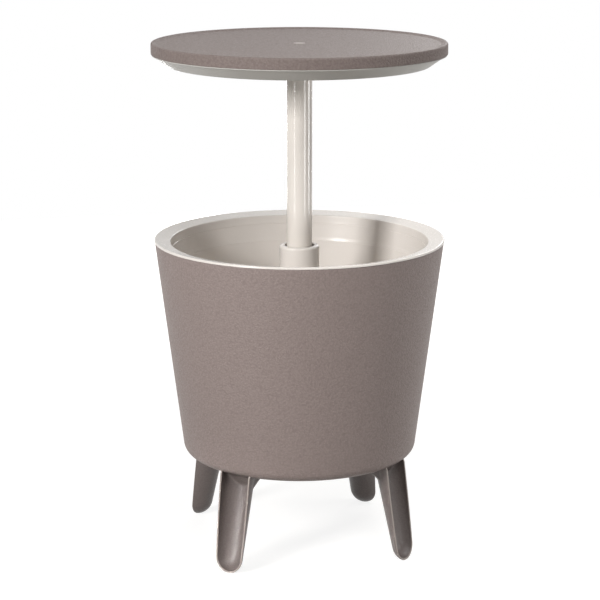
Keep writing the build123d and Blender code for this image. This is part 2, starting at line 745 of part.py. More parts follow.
# Dish that closes the table from below and seats in the bowl's mouth
dish_cone_bottom = table_bottom - dish_lip_height
dish_inner_flat = dish_flat_radius - dish_wall * tan(dish_slope / 2)
dish_inner_top = dish_bottom + dish_wall + (dish_rim_radius - dish_wall - dish_inner_flat) * tan(dish_slope)
screw_hole = flush_screw(thread_gap).moved(Location((0, 0, dish_bottom)))
with BuildPart() as table_underside:
    with BuildSketch(Plane.XZ):
        with BuildLine():
            FilletPolyline(
                (dish_rim_radius, table_bottom + dish_rise),
                (dish_rim_radius, dish_cone_bottom),
                (dish_cone_radius, dish_cone_bottom),
                (dish_flat_radius, dish_bottom),
                (post_radius + seat_gap, dish_bottom),
                (post_radius + seat_gap, dish_bottom + dish_wall),
                (dish_inner_flat, dish_bottom + dish_wall),
                (dish_rim_radius - dish_wall, dish_inner_top),
                (dish_rim_radius - dish_wall, table_bottom + dish_rise),
                radius=(0, 0, 0, dish_edge_round, 0, 0, dish_edge_round, 0, 0), close=True)
        make_face()
    revolve(axis=Axis.Z)
    with PolarLocations(table_screw_radius, table_screw_count):
        add(screw_hole, mode=Mode.SUBTRACT)
save(table_underside.part, "table_underside")

table_screw = flush_screw(0).moved(Location((0, 0, dish_bottom)))
with BuildPart() as table_screws:
    with PolarLocations(table_screw_radius, table_screw_count):
        add(table_screw)
    with BuildSketch(Plane.XY.offset(dish_bottom)):
        with PolarLocations(table_screw_radius, table_screw_count):
            Rectangle(screw_head_radius, screw_slot_width)
            Rectangle(screw_slot_width, screw_head_radius)
    extrude(amount=screw_slot_depth, mode=Mode.SUBTRACT)
save(table_screws.part, "table_screws")

print(f"lift {lift:.2f} mm, table {table_top_z:.2f} mm raised, {table_top_z - lift:.2f} mm closed")
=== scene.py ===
"""Cooler bar table: the looks of its pieces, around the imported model. Metres, +Z up, front towards -Y."""

import bmesh
import bpy
import numpy as np
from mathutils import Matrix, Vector


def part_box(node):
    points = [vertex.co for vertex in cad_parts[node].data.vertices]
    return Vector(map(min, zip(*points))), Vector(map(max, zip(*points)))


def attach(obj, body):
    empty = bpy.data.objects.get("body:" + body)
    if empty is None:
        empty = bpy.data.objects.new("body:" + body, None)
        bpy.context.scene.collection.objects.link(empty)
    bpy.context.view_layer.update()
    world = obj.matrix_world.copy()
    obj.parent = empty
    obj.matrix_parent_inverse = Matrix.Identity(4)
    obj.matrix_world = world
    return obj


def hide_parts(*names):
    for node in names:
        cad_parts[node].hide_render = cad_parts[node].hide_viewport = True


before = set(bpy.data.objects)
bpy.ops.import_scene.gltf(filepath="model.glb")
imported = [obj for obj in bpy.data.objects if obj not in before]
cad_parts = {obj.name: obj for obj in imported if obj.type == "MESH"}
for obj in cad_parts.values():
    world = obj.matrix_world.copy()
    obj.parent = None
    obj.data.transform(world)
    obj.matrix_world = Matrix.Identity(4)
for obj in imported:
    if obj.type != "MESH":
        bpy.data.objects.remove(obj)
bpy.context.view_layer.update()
bpy.context.scene.view_settings.view_transform = "Standard"

# Bucket shell: the outside of the cooler, one blow-moulded polypropylene bucket.
# Its mould is etched all over, so the taupe plastic has a fine pebble grain and little gloss.
# Its lower edge is rounded, and its rim is capped by the liner.
SHELL_WALL = 0.003
SHELL_BASE_RADIUS = 0.199
SHELL_BASE_ROUND = 0.0185
SHELL_EDGE_ROUND = 0.0006
SHELL_LIP_ROUND = 0.0018
SLEEVE_HOLE_RADIUS = 0.031
DRAIN_PLACE = (0, 0.110)
DRAIN_HOLE_RADIUS = 0.0133
TURN_STEPS = 224             # points round a turned piece
ARC_STEP = np.radians(7.5)   # from point to point of a rounded corner, at most
RUN_STEPS = 14               # steps along a straight run, at most
RUN_SPACING = 0.0025         # mean step along a short run
SHARP_ANGLE = np.radians(32)
TOLERANCE = 1e-6
WELD = 2 * TOLERANCE
GRAIN_WARP = 0.4             # waves of the slow noise that bends the cells, for each cell
GRAIN_BEND = 0.35            # how far it bends them, as a share of a cell
GRAIN_FINE = 2.2             # waves of the fine noise, for each cell
GRAIN_CELL_SHARE = 0.75      # weight of the cells next to the fine noise
GRAIN_STRENGTH = 0.55
GRAIN_CLOUDS = 9.0           # clouds for each metre
GRAIN_CLOUD_SHARE = 0.15
# The relief's valleys are painted darker, as shade, and slow clouds vary the tone.
GRAIN_VALLEY_SHADE_AND_MOTTLE = (0.5, 1.2)    # relief, with clouds, at which the colour is light and dark
GRAIN_RELIEF = (0.4, 1.2)
GRAIN_GLOSS = (-0.05, 0.07)  # change of roughness over that relief
POLYPROPYLENE_IOR = 1.49

shell_low, shell_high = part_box("outer_shell")
SHELL_BASE = shell_low.z
SHELL_TOP = shell_high.z
SHELL_TOP_RADIUS = shell_high.x
SHELL_SLOPE = (SHELL_TOP_RADIUS - SHELL_BASE_RADIUS) / (SHELL_TOP - SHELL_BASE)


def srgb(code):
    """The linear colour, with alpha, of an sRGB hex code."""
    part = np.array([int(code[i:i + 2], 16) for i in (1, 3, 5)]) / 255
    linear = np.where(part <= 0.04045, part / 12.92, ((part + 0.055) / 1.055) ** 2.4)
    return (*linear, 1.0)


def add(tree, kind, inputs=None, **settings):
    """Add a shader node. Settings are its properties; inputs are its sockets, each a value or an output."""
    node = tree.nodes.new("ShaderNode" + kind)
    for key, value in settings.items():
        setattr(node, key, value)
    for key, value in (inputs or {}).items():
        if isinstance(value, bpy.types.NodeSocket):
            tree.links.new(value, node.inputs[key])
        else:
            node.inputs[key].default_value = value
    return node


def finish_tree(name, tree_of):
    """A material whose Principled shader gets its sockets from tree_of, a function of the node tree."""
    made = bpy.data.materials.new(name)
    made.use_nodes = True
    tree = made.node_tree
    tree.nodes.clear()
    shader = add(tree, "BsdfPrincipled", tree_of(tree))
    add(tree, "OutputMaterial", {"Surface": shader.outputs["BSDF"]})
    return made


def grained(dark, light, cell_mm, depth_mm, roughness, shine, rim_highlight_colour=None):
    """Moulded plastic with an etched grain: bent cells of a size and fine noise make the relief, which also
    sets gloss, and whose valleys are painted darker as shade, under slow clouds of tone. A last colour, if
    given, is a highlight painted light along rims, where their mesh attribute is 1."""
    def sockets(tree):
        cells_per_metre = 1000 / cell_mm
        place = add(tree, "TexCoord").outputs["Object"]
        warp = add(tree, "TexNoise", {"Vector": place, "Scale": GRAIN_WARP * cells_per_metre, "Detail": 2.0})
        bent = add(tree, "MixRGB", {0: GRAIN_BEND / cells_per_metre, 1: place, 2: warp.outputs["Color"]},
                   blend_type="ADD")
        cells = add(tree, "TexVoronoi", {"Vector": bent.outputs[0], "Scale": cells_per_metre,
                                         "Smoothness": 0.7}, feature="SMOOTH_F1")
        fine = add(tree, "TexNoise", {"Vector": place, "Scale": GRAIN_FINE * cells_per_metre, "Detail": 3.0})
        relief = add(tree, "Math", {0: cells.outputs["Distance"], 1: GRAIN_CELL_SHARE,
                                    2: fine.outputs["Fac"]}, operation="MULTIPLY_ADD")
        bump = add(tree, "Bump", {"Strength": GRAIN_STRENGTH, "Distance": depth_mm / 1000,
                                  "Height": relief.outputs[0]}, invert=True)
        clouds = add(tree, "TexNoise", {"Vector": place, "Scale": GRAIN_CLOUDS, "Detail": 4.0,
                                        "Roughness": 0.6})
        # painted shade: the valleys of the relief take the dark colour and the pebble tops the light one,
        # under clouds of tone
        valley_shade_and_mottle = add(tree, "Math", {0: clouds.outputs["Fac"], 1: GRAIN_CLOUD_SHARE, 2: relief.outputs[0]},
                     operation="MULTIPLY_ADD")
        share = add(tree, "MapRange", {"Value": valley_shade_and_mottle.outputs[0], "From Min": GRAIN_VALLEY_SHADE_AND_MOTTLE[0],
                                       "From Max": GRAIN_VALLEY_SHADE_AND_MOTTLE[1]})
        colour = add(tree, "MixRGB", {0: share.outputs["Result"], 1: srgb(light), 2: srgb(dark)})
        # painted highlight: a lighter colour laid along the rims, where their mesh attribute is 1
        if rim_highlight_colour:
            highlight_mask = add(tree, "Attribute", attribute_name="painted_rim_highlight")
            colour = add(tree, "MixRGB", {0: highlight_mask.outputs["Fac"], 1: colour.outputs[0], 2: srgb(rim_highlight_colour)})
        rough = add(tree, "MapRange", {"Value": relief.outputs[0],
                                       "From Min": GRAIN_RELIEF[0], "From Max": GRAIN_RELIEF[1],
                                       "To Min": roughness + GRAIN_GLOSS[0],
                                       "To Max": roughness + GRAIN_GLOSS[1]})
        return {"Base Color": colour.outputs[0], "Roughness": rough.outputs["Result"],
                "Normal": bump.outputs["Normal"], "IOR": POLYPROPYLENE_IOR, "Specular IOR Level": shine}
    return sockets


def rounded(corners, closed=True):
    """An outline in r and z through corners (r, z, radius). Each corner is an arc that touches both sides,
    and the straight runs between arcs have points that crowd towards their ends, fewer on short runs."""
    corners = np.array(corners, float)
    point, radius = corners[:, :2], corners[:, 2]
    back = np.roll(point, 1, 0) - point
    ahead = np.roll(point, -1, 0) - point
    back /= np.linalg.norm(back, axis=1)[:, None]
    ahead /= np.linalg.norm(ahead, axis=1)[:, None]
    arcs = []
    for i in range(len(point)):
        cosine = np.clip(back[i] @ ahead[i], -1, 1)
        turn = np.pi - np.arccos(cosine)
        if radius[i] == 0 or turn < TOLERANCE:
            arcs.append(point[i][None])
            continue
        reach = radius[i] * np.tan(turn / 2)
        start = point[i] + back[i] * reach
        inward = ahead[i] - back[i] * cosine
        inward /= np.linalg.norm(inward)
        sweep = np.linspace(0, turn, max(3, int(np.ceil(turn / ARC_STEP)) + 1))[:, None]
        arcs.append(start - back[i] * radius[i] * np.sin(sweep) + inward * radius[i] * (1 - np.cos(sweep)))
    pieces = []
    for i, arc in enumerate(arcs):
        pieces.append(arc)
        if closed or i < len(arcs) - 1:
            run = arcs[(i + 1) % len(arcs)][0] - arc[-1]
            steps = int(np.clip(np.linalg.norm(run) / RUN_SPACING, 1, RUN_STEPS))
            crowd = (1 - np.cos(np.pi * np.arange(1, steps) / steps))[:, None] / 2
            pieces.append(arc[-1] + run * crowd)
    return np.concatenate(pieces)


def turned(outline):
    """A surface of revolution: point (r, z) of the outline at angle a stands at (r cos a, r sin a, z)."""
    angle = np.linspace(0, 2 * np.pi, TURN_STEPS, endpoint=False)
    r, z = outline.T
    return np.stack([np.outer(np.cos(angle), r), np.outer(np.sin(angle), r), np.tile(z, (TURN_STEPS, 1))], -1)


def lattice(rows, columns, wrap_rows=True, wrap_columns=True):
    """The quads of a grid of points, rows by columns, joined at its ends where it wraps."""
    i = np.arange(rows if wrap_rows else rows - 1)[:, None]
    j = np.arange(columns if wrap_columns else columns - 1)[None]
    below, beside = (i + 1) % rows, (j + 1) % columns
    near, far = i * columns, below * columns
    return np.stack([near + j, far + j, far + beside, near + beside], -1).reshape(-1, 4)


def make_piece(name, points, quads, material, body, replaces, cutter=None, rim_highlight=None):
    """A closed smooth mesh from points and quads: seams and poles are welded, and faces are turned outwards.
    A cutter, points and quads of closed forms, is taken out of it. The last argument is a highlight painted
    on the rim, a value for each point, 0 to 1."""
    def welded(part_name, part_points, part_quads, part_highlight=None):
        mesh = bpy.data.meshes.new(part_name)
        mesh.from_pydata(part_points.reshape(-1, 3).tolist(), [], part_quads.tolist())
        if part_highlight is not None:
            mesh.attributes.new("painted_rim_highlight", "FLOAT", "POINT").data.foreach_set("value", part_highlight.ravel())
        work = bmesh.new()
        work.from_mesh(mesh)
        bmesh.ops.remove_doubles(work, verts=work.verts, dist=WELD)
        bmesh.ops.dissolve_degenerate(work, edges=work.edges, dist=WELD)
        bmesh.ops.recalc_face_normals(work, faces=work.faces)
        work.to_mesh(mesh)
        work.free()
        made = bpy.data.objects.new(part_name, mesh)
        bpy.context.scene.collection.objects.link(made)
        return made

    piece = welded(name, points, quads, rim_highlight)
    if cutter:
        tool = welded(name + "_cutter", *cutter)
        piece.modifiers.new("holes", "BOOLEAN").object = tool
        seen = piece.evaluated_get(bpy.context.evaluated_depsgraph_get())
        cut_mesh = bpy.data.meshes.new_from_object(seen)
        piece.modifiers.clear()
        piece.data = cut_mesh
        bpy.data.objects.remove(tool)
    piece.data.shade_smooth()
    piece.data.set_sharp_from_angle(angle=SHARP_ANGLE)
    piece.data.materials.append(material)
    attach(piece, body)
    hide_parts(*replaces)
    return piece


def turned_piece(name, corners, material, body, replaces, cutter=None):
    """A piece that is the same all round: a closed outline, turned about the post's axis."""
    points = turned(rounded(corners))
    quads = lattice(*points.shape[:2])
    return make_piece(name, points, quads, material, body, replaces, cutter)


def drill(places, corners):
    """A cutter: an outline that starts and ends on its axis, turned, and set upright at each place (x, y)."""
    form = turned(rounded(corners, closed=False))
    quads = lattice(*form.shape[:2], wrap_columns=False)
    shift = np.array([(x, y, 0) for x, y in places])
    points = shift[:, None, None] + form
    steps = np.arange(len(places))[:, None, None] * form[..., 0].size
    return points, (quads + steps).reshape(-1, 4)


# Polypropylene, blow-moulded in an etched mould: matt, with soft highlights broken up by the pebbles.
# The real pebbles are about 1.5 mm, too fine to show from here, so they are drawn at 3.4 mm.
taupe_grain = finish_tree("taupe_polypropylene_pebbled", grained("#867874", "#968883", 3.4, 1.2, 0.5, 0.35))
shell_inner_base = SHELL_BASE_RADIUS - SHELL_WALL
turned_piece("bucket_shell", [
    (SLEEVE_HOLE_RADIUS, SHELL_BASE, SHELL_EDGE_ROUND),
    (SHELL_BASE_RADIUS, SHELL_BASE, SHELL_BASE_ROUND),
    (SHELL_TOP_RADIUS, SHELL_TOP, SHELL_LIP_ROUND),
    (SHELL_TOP_RADIUS - SHELL_WALL, SHELL_TOP, SHELL_EDGE_ROUND),
    (shell_inner_base + SHELL_SLOPE * SHELL_WALL, SHELL_BASE + SHELL_WALL, SHELL_BASE_ROUND - SHELL_WALL),
    (SLEEVE_HOLE_RADIUS, SHELL_BASE + SHELL_WALL, SHELL_EDGE_ROUND),
], taupe_grain, "base", ["outer_shell"], drill([DRAIN_PLACE], [
    (0, SHELL_BASE - SHELL_WALL, 0),
    (DRAIN_HOLE_RADIUS, SHELL_BASE - SHELL_WALL, 0),
    (DRAIN_HOLE_RADIUS, SHELL_BASE + 2 * SHELL_WALL, 0),
    (0, SHELL_BASE + 2 * SHELL_WALL, 0),
]))

# Legs: four injection-moulded scoops, open outwards, with a round lower end that stands on a small flat.
# A sloping block closes the top of each channel and takes two screws, and the back runs into the bucket
# The rim is rounded all along, so it catches the light, and a highlight painted along it in a lighter colour
# draws that bright line.
LEG_LEAN = np.radians(13.4)
LEG_FACE_LEAN = np.radians(7.9)
LEG_TIP_RADIUS = 0.0278
LEG_TOP_RADIUS = 0.0304
LEG_TIP_SETBACK = 0.0074
LEG_FOOT_FLAT = 0.0008
LEG_SPREAD = 0.0234
LEG_WALL = 0.0032
LEG_RIM_ROUND = 0.0012
LEG_CORNER_ROUND = 0.0045
LEG_BLOCK_HEIGHT = 0.022
LEG_BLOCK_LEAN = np.radians(30)
LEG_BLOCK_BLEND = 0.0018
LEG_FLARE_RADIUS = 0.048
LEG_FLARE_END = np.radians(80)
LEG_FLARE_EDGE = 0.001
LEG_FLARE_WIDTH = 0.056
LEG_FLARE_BITE = 0.0003
LEG_FLARE_SQUARENESS = 30
LEG_GAP = 0.0002
LEG_CORNER_TOP = 0.0056      # rim's upper end above the bucket's underside
LEG_CLIMB = np.radians(46)   # how far the top goes up round the bucket's lower edge, at most
LEG_TURN_LIMIT = np.radians(150)
LEG_HALVINGS = 40
LEG_CLIMB_ROWS = 9
LEG_FLARE_ROWS = 26
LEG_SIDE_ROWS = 34
LEG_FAN_ROWS = 30
LEG_BACK_STEPS = 30
LEG_RIM_STEPS = 6

leg_reach = SHELL_BASE_RADIUS + LEG_SPREAD
leg_ring = np.sqrt(LEG_TIP_RADIUS**2 - LEG_TIP_SETBACK**2)
leg_tip_z = LEG_TIP_SETBACK * np.sin(LEG_FACE_LEAN) + leg_ring * np.cos(LEG_FACE_LEAN) - LEG_FOOT_FLAT
leg_length = (SHELL_BASE - leg_tip_z) / np.cos(LEG_LEAN)
leg_growth = (LEG_TOP_RADIUS - LEG_TIP_RADIUS) / leg_length
leg_middle = np.array([leg_reach, 0, leg_tip_z])
leg_line = np.array([-np.sin(LEG_LEAN), 0, np.cos(LEG_LEAN)])
leg_normal = np.array([np.cos(LEG_FACE_LEAN), 0, np.sin(LEG_FACE_LEAN)])
leg_rim_top = SHELL_BASE + LEG_CORNER_TOP


def leg_skin(along, way, inset):
    """Distance from the leg's middle line, at a length along it, to its skin in a direction. The skin is a
    cone that widens upwards and ends below in a ball, both moved in by an inset."""
    rise = way @ leg_line
    out = np.sqrt(1 - rise**2)
    radius = LEG_TIP_RADIUS - inset
    cone = (radius + leg_growth * along) / (out - leg_growth * rise)
    ball = np.sqrt(np.maximum(radius**2 - (along * out)**2, 0)) - along * rise
    return np.where(along + cone * rise >= 0, cone, ball)


def leg_point(along, side, angle, inset):
    """The point on the skin at an angle from straight back, turned towards a side direction."""
    way = side * np.sin(angle)[..., None] - np.cos(angle)[..., None] * np.array([1.0, 0, 0])
    start = leg_middle + along[..., None] * leg_line
    return start + leg_skin(along, way, inset)[..., None] * way


def leg_depth(point):
    """How far a point lies behind the open face, which rounds away at the rim's upper end."""
    flat = (leg_middle - point) @ leg_normal - LEG_TIP_SETBACK
    above = np.clip(point[..., 2] - leg_rim_top + LEG_CORNER_ROUND, 0, LEG_CORNER_ROUND)
    return flat - LEG_CORNER_ROUND + np.sqrt(LEG_CORNER_ROUND**2 - above**2)


def leg_angle_at(along, side, inset, depth):
    """The angle at which the skin reaches a depth behind the open face, found by halving."""
    low = np.zeros(along.shape)
    high = np.full(along.shape, LEG_TURN_LIMIT)
    for _ in range(LEG_HALVINGS):
        middle = (low + high) / 2
        inside = leg_depth(leg_point(along, side, middle, inset)) > depth
        low = np.where(inside, middle, low)
        high = np.where(inside, high, middle)
    return low


def leg_section(z):
    """Middle and radius of the leg's round form at a height."""
    return (leg_reach - (z - leg_tip_z) * np.tan(LEG_LEAN),
            LEG_TIP_RADIUS + leg_growth * (z - leg_tip_z) / np.cos(LEG_LEAN))


def leg_points():
    """The scoop as a grid, and the highlight painted on its rim. Rows are cuts down one side, round the lower
    end and up the other side. Each runs from the spine over the outside, round the rim, and down the channel."""
    back_lean = LEG_LEAN + np.arctan(leg_growth)
    curve_top = SHELL_BASE - LEG_FLARE_EDGE
    curve_rise = LEG_FLARE_RADIUS * (np.sin(LEG_FLARE_END) - np.sin(back_lean))
    curve_bottom = curve_top - curve_rise
    curve_z = curve_bottom - LEG_FLARE_RADIUS * np.sin(back_lean)
    block_z = SHELL_BASE - LEG_BLOCK_HEIGHT
    climb = np.linspace(0, LEG_CLIMB, LEG_CLIMB_ROWS)
    top_z = SHELL_BASE - LEG_GAP + (SHELL_BASE_ROUND + LEG_GAP) * (1 - np.cos(climb))
    top_z = top_z[top_z < leg_rim_top][::-1]
    flare_z = curve_z + LEG_FLARE_RADIUS * np.sin(np.linspace(LEG_FLARE_END, back_lean, LEG_FLARE_ROWS))
    side_z = np.linspace(curve_bottom, leg_tip_z, LEG_SIDE_ROWS)[1:]
    heights = np.concatenate([[leg_rim_top], top_z, flare_z, side_z])
    fan = np.linspace(0, np.pi, LEG_FAN_ROWS + 2)[1:-1]
    turn = np.concatenate([np.zeros(len(heights)), fan, np.full(len(heights), np.pi)])
    side = np.stack([np.zeros(len(turn)), -np.cos(turn), -np.sin(turn)], -1)
    along_side = (heights - leg_tip_z) / np.cos(LEG_LEAN)
    along = np.concatenate([along_side, np.zeros(LEG_FAN_ROWS), along_side[::-1]])

    bend = np.linspace(0, np.pi / 2, LEG_RIM_STEPS)
    step_in = LEG_RIM_ROUND * (1 - np.cos(bend))
    inset = np.concatenate([np.zeros(LEG_BACK_STEPS), step_in, LEG_WALL - step_in[::-1],
                            np.full(LEG_BACK_STEPS, LEG_WALL)])
    dip = LEG_RIM_ROUND * (1 - np.sin(bend))
    depth = np.concatenate([np.full(LEG_BACK_STEPS, LEG_RIM_ROUND), dip, dip[::-1],
                            np.full(LEG_BACK_STEPS, LEG_RIM_ROUND)])
    share = np.linspace(0, 1, LEG_BACK_STEPS, endpoint=False)
    share = np.concatenate([share, np.ones(2 * LEG_RIM_STEPS), share[::-1]])

    shape = (len(along), len(inset))
    along = np.broadcast_to(along[:, None], shape)
    side = np.broadcast_to(side[:, None], (*shape, 3))
    inset = np.broadcast_to(inset, shape)
    angle = leg_angle_at(along, side, inset, np.broadcast_to(depth, shape)) * share
    point = leg_point(along, side, angle, inset)

    # the channel's back rises along the block's front, blended into it
    outside = np.arange(shape[1]) < shape[1] // 2
    block_middle, block_radius = leg_section(block_z)
    ramp = block_middle - (block_radius - LEG_WALL) / np.cos(LEG_LEAN)
    ramp = ramp + (point[..., 2] - block_z) * np.tan(LEG_BLOCK_LEAN)
    apart = point[..., 0] - ramp
    filled = ramp + (apart + np.sqrt(apart**2 + LEG_BLOCK_BLEND**2)) / 2
    point[..., 0] = np.where(outside, point[..., 0], filled)

    # the outside behind the leg's middle grows into a trumpet with a hollow curve, cut off at its sides
    middle, radius = leg_section(curve_top)
    curve_x = middle - radius + LEG_FLARE_BITE
    curve_x += curve_rise * np.tan(back_lean) - LEG_FLARE_RADIUS * np.cos(back_lean)
    level = np.clip(point[..., 2], curve_bottom, curve_top)
    trumpet = middle - curve_x - np.sqrt(LEG_FLARE_RADIUS**2 - (level - curve_z)**2)
    away = np.stack([point[..., 0] - middle, point[..., 1]], -1)
    reach = np.linalg.norm(away, axis=-1)
    across = np.abs(away[..., 1]) / reach * 2 / LEG_FLARE_WIDTH
    squareness = LEG_FLARE_SQUARENESS
    wide = (trumpet**-squareness + across**squareness) ** (-1 / squareness)
    flared = outside & (away[..., 0] < 0) & (point[..., 2] >= curve_bottom)
    growth = np.where(flared, np.maximum(wide / reach - 1, 0), 0)
    point[..., :2] += away * growth[..., None]

    # the top lies against the bucket's rounded edge, and the foot is flat
    fillet_reach = SHELL_BASE_ROUND * np.tan(np.pi / 4 - np.arctan(SHELL_SLOPE) / 2)
    fillet_z = SHELL_BASE + SHELL_BASE_ROUND
    drop = np.clip(fillet_z - point[..., 2], 0, SHELL_BASE_ROUND + LEG_GAP)
    bucket = SHELL_BASE_RADIUS - fillet_reach + np.sqrt((SHELL_BASE_ROUND + LEG_GAP)**2 - drop**2)
    pushed = np.sqrt(np.maximum(bucket**2 - point[..., 1]**2, 0))
    over = point[..., 2] > SHELL_BASE - LEG_GAP + TOLERANCE
    point[..., 0] = np.where(over, np.maximum(point[..., 0], pushed), point[..., 0])
    point[..., 2] = np.maximum(point[..., 2], 0)

    # a highlight painted along the rim: 1 at its crest, falling to 0 on the outside and in the channel
    rim = np.sqrt(np.sin(bend))
    plain = np.zeros(LEG_BACK_STEPS)
    rim_highlight = np.broadcast_to(np.concatenate([plain, rim, rim[::-1], plain]), shape)
    return point, rim_highlight


def leg_quads(rows, columns):
    """The scoop's grid, and at each end of its rows a strip from the outside to the channel, over its top."""
    quads = lattice(rows, columns, False, False)
    half = np.arange(columns // 2 - 1)
    strip = np.stack([half, half + 1, columns - 2 - half, columns - 1 - half], -1)
    return np.concatenate([quads, strip, (rows - 1) * columns + strip])


# The same plastic, injection-moulded with a finer grain and a little more sheen. Its colour is painted darker
# than the bucket's, as the shade in the channels, and a highlight is painted light along the rim.
# The real grain is about 1 mm, and is drawn at 2.4 mm.
taupe_leg_shaded = finish_tree("taupe_polypropylene_fine_shaded", grained(
    "#665C59", "#726864", 2.4, 0.5, 0.37, 0.5, rim_highlight_colour="#A1968F"))
scoop, scoop_highlight = leg_points()
scoop_quads = leg_quads(*scoop.shape[:2])
for leg in ("leg_rear_right", "leg_rear_left", "leg_front_left", "leg_front_right"):
    low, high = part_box(leg)
    heading = np.arctan2(low.y + high.y, low.x + high.x)
    cosine, sine = np.cos(heading), np.sin(heading)
    turn = np.array([[cosine, sine, 0], [-sine, cosine, 0], [0, 0, 1]])
    make_piece(leg.replace("leg", "scoop"), scoop @ turn, scoop_quads, taupe_leg_shaded, "base",
               [leg], rim_highlight=scoop_highlight)

# Screws, washer, bolt, pin and clip: small steel fasteners, cold-headed or stamped, and zinc-plated.
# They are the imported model's own solids, with a plated finish.
STEEL_NODES = ("leg_screws", "sleeve_screws", "table_screws", "post_bolt", "post_washer", "foot_pin",
               "post_clip")
ZINC_ROUGHNESS = (0.22, 0.42)
ZINC_RELIEF = 0.00005
ZINC_STRENGTH = 0.2


def finish_nodes(names, material):
    """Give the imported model's own solids a finish."""
    for node in names:
        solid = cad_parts[node]
        solid.data.materials.clear()
        solid.data.materials.append(material)


def plated(light, dark, fleck_mm):
    """Plated steel: flecks of slightly different tone and gloss, as the zinc crystals and tool marks give."""
    def sockets(tree):
        place = add(tree, "TexCoord").outputs["Object"]
        flecks = add(tree, "TexNoise", {"Vector": place, "Scale": 1000 / fleck_mm, "Detail": 4.0})
        colour = add(tree, "MixRGB", {0: flecks.outputs["Fac"], 1: srgb(light), 2: srgb(dark)})
        rough = add(tree, "MapRange", {"Value": flecks.outputs["Fac"], "To Min": ZINC_ROUGHNESS[0],
                                       "To Max": ZINC_ROUGHNESS[1]})
        bump = add(tree, "Bump", {"Strength": ZINC_STRENGTH, "Distance": ZINC_RELIEF,
                                  "Height": flecks.outputs["Fac"]})
        return {"Base Color": colour.outputs[0], "Metallic": 1.0, "Roughness": rough.outputs["Result"],
                "Normal": bump.outputs["Normal"]}
    return sockets


# Bright zinc on steel: cool grey and half glossy.
zinc_steel = finish_tree("zinc_plated_steel", plated("#C9C8C4", "#A7A6A3", 0.6))
finish_nodes(STEEL_NODES, zinc_steel)

# Sleeve, bush, guide, foot and plug: the post's bearings, turned or moulded in dark acetal, which slides dry.
# Only the bush shows, as a dark ring round the post in the mouth of the column.
ACETAL_NODES = ("guide_sleeve", "top_bush", "post_guide", "lock_foot", "post_plug")
ACETAL_WEAR = 45.0           # clouds for each metre
ACETAL_GLOSS = (-0.08, 0.12)
ACETAL_IOR = 1.48
LATHE_RELIEF = 0.0001
LATHE_STRENGTH = 0.2
LATHE_BAND = np.pi / 10      # width of a band of the wave texture, where its scale is 1


def turned_marks(light, dark, groove_mm, roughness):
    """Dark plastic with fine lathe grooves across its axis, and wear that dulls it in clouds."""
    def sockets(tree):
        place = add(tree, "TexCoord").outputs["Object"]
        grooves = add(tree, "TexWave", {"Vector": place, "Scale": 1000 * LATHE_BAND / groove_mm,
                                        "Distortion": 1.5, "Detail": 2.0}, bands_direction="Z")
        clouds = add(tree, "TexNoise", {"Vector": place, "Scale": ACETAL_WEAR, "Detail": 4.0})
        colour = add(tree, "MixRGB", {0: clouds.outputs["Fac"], 1: srgb(dark), 2: srgb(light)})
        bump = add(tree, "Bump", {"Strength": LATHE_STRENGTH, "Distance": LATHE_RELIEF,
                                  "Height": grooves.outputs["Fac"]})
        rough = add(tree, "MapRange", {"Value": clouds.outputs["Fac"], "To Min": roughness + ACETAL_GLOSS[0],
                                       "To Max": roughness + ACETAL_GLOSS[1]})
        return {"Base Color": colour.outputs[0], "Roughness": rough.outputs["Result"],
                "Normal": bump.outputs["Normal"], "IOR": ACETAL_IOR}
    return sockets


# Acetal: near black, waxy, with a low even sheen. Its grooves, 0.3 mm apart, are drawn at about 4 mm.
dark_acetal = finish_tree("dark_acetal_turned", turned_marks("#3C3A38", "#2A2827", 3.948, 0.42))
finish_nodes(ACETAL_NODES, dark_acetal)

# Liner: rim, sloping flange, bowl and hollow column, injection-moulded in one piece from pale polypropylene.
# It is smooth and half glossy. Two low steps in its wall, each with a fine groove, show as thin lines.
RIM_ROUND = 0.0024
FLANGE_WIDTH = 0.0273
FLANGE_DROP = 0.0055
FLANGE_ROUND = 0.0022
LINER_WALL = 0.0028
LINER_TAPER = np.tan(np.radians(7.2))
LINER_DEPTH = 0.272
LINER_FLOOR_ROUND = 0.024
LEDGE_DROP = 0.0194
LEDGE_STEP = 0.0006
LEDGE_RAMP = 0.003
SHELF_DROP = 0.0504
SHELF_STEP = 0.0014
SHELF_RAMP = 0.006
GROOVE_DEPTH = 0.0005
GROOVE_WIDTH = 0.0009
SPIGOT_DEPTH = 0.010
SPIGOT_GAP = 0.0033
COLUMN_RADIUS = 0.034
COLUMN_DROP = 0.0144
COLUMN_BORE = 0.031
COLUMN_EDGE_ROUND = 0.004
COLUMN_FOOT_ROUND = 0.008
MOUTH_RADIUS = 0.0255
MOUTH_THICKNESS = 0.005
MOUTH_ROUND = 0.001
TRIM_ROUND = 0.0004
WAVE_RELIEF = 0.0016
WAVE_STRENGTH = 0.25
SCUFF_MM = 2.2
SCUFF_GLOSS = (-0.04, 0.05)
NOISE_SPAN = (0.3, 0.7)      # where most values of a noise lie

liner_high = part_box("inner_liner")[1]
RIM_TOP = liner_high.z
RIM_RADIUS = liner_high.x
flange_radius = RIM_RADIUS - FLANGE_WIDTH
flange_z = RIM_TOP - FLANGE_DROP
flange_slope = FLANGE_DROP / FLANGE_WIDTH
bowl_floor = RIM_TOP - LINER_DEPTH
bowl_under = bowl_floor - LINER_WALL
ledge_z = RIM_TOP - LEDGE_DROP
shelf_z = RIM_TOP - SHELF_DROP
ledge_radius = flange_radius - (flange_z - ledge_z) * LINER_TAPER
shelf_radius = flange_radius - (flange_z - shelf_z) * LINER_TAPER - LEDGE_STEP
floor_radius = flange_radius - (flange_z - bowl_floor) * LINER_TAPER - LEDGE_STEP - SHELF_STEP
spigot_radius = SHELL_TOP_RADIUS - SPIGOT_GAP - SPIGOT_DEPTH * SHELL_SLOPE
spigot_inner = spigot_radius - LINER_WALL
flange_under = flange_z - LINER_WALL
column_top = RIM_TOP - COLUMN_DROP


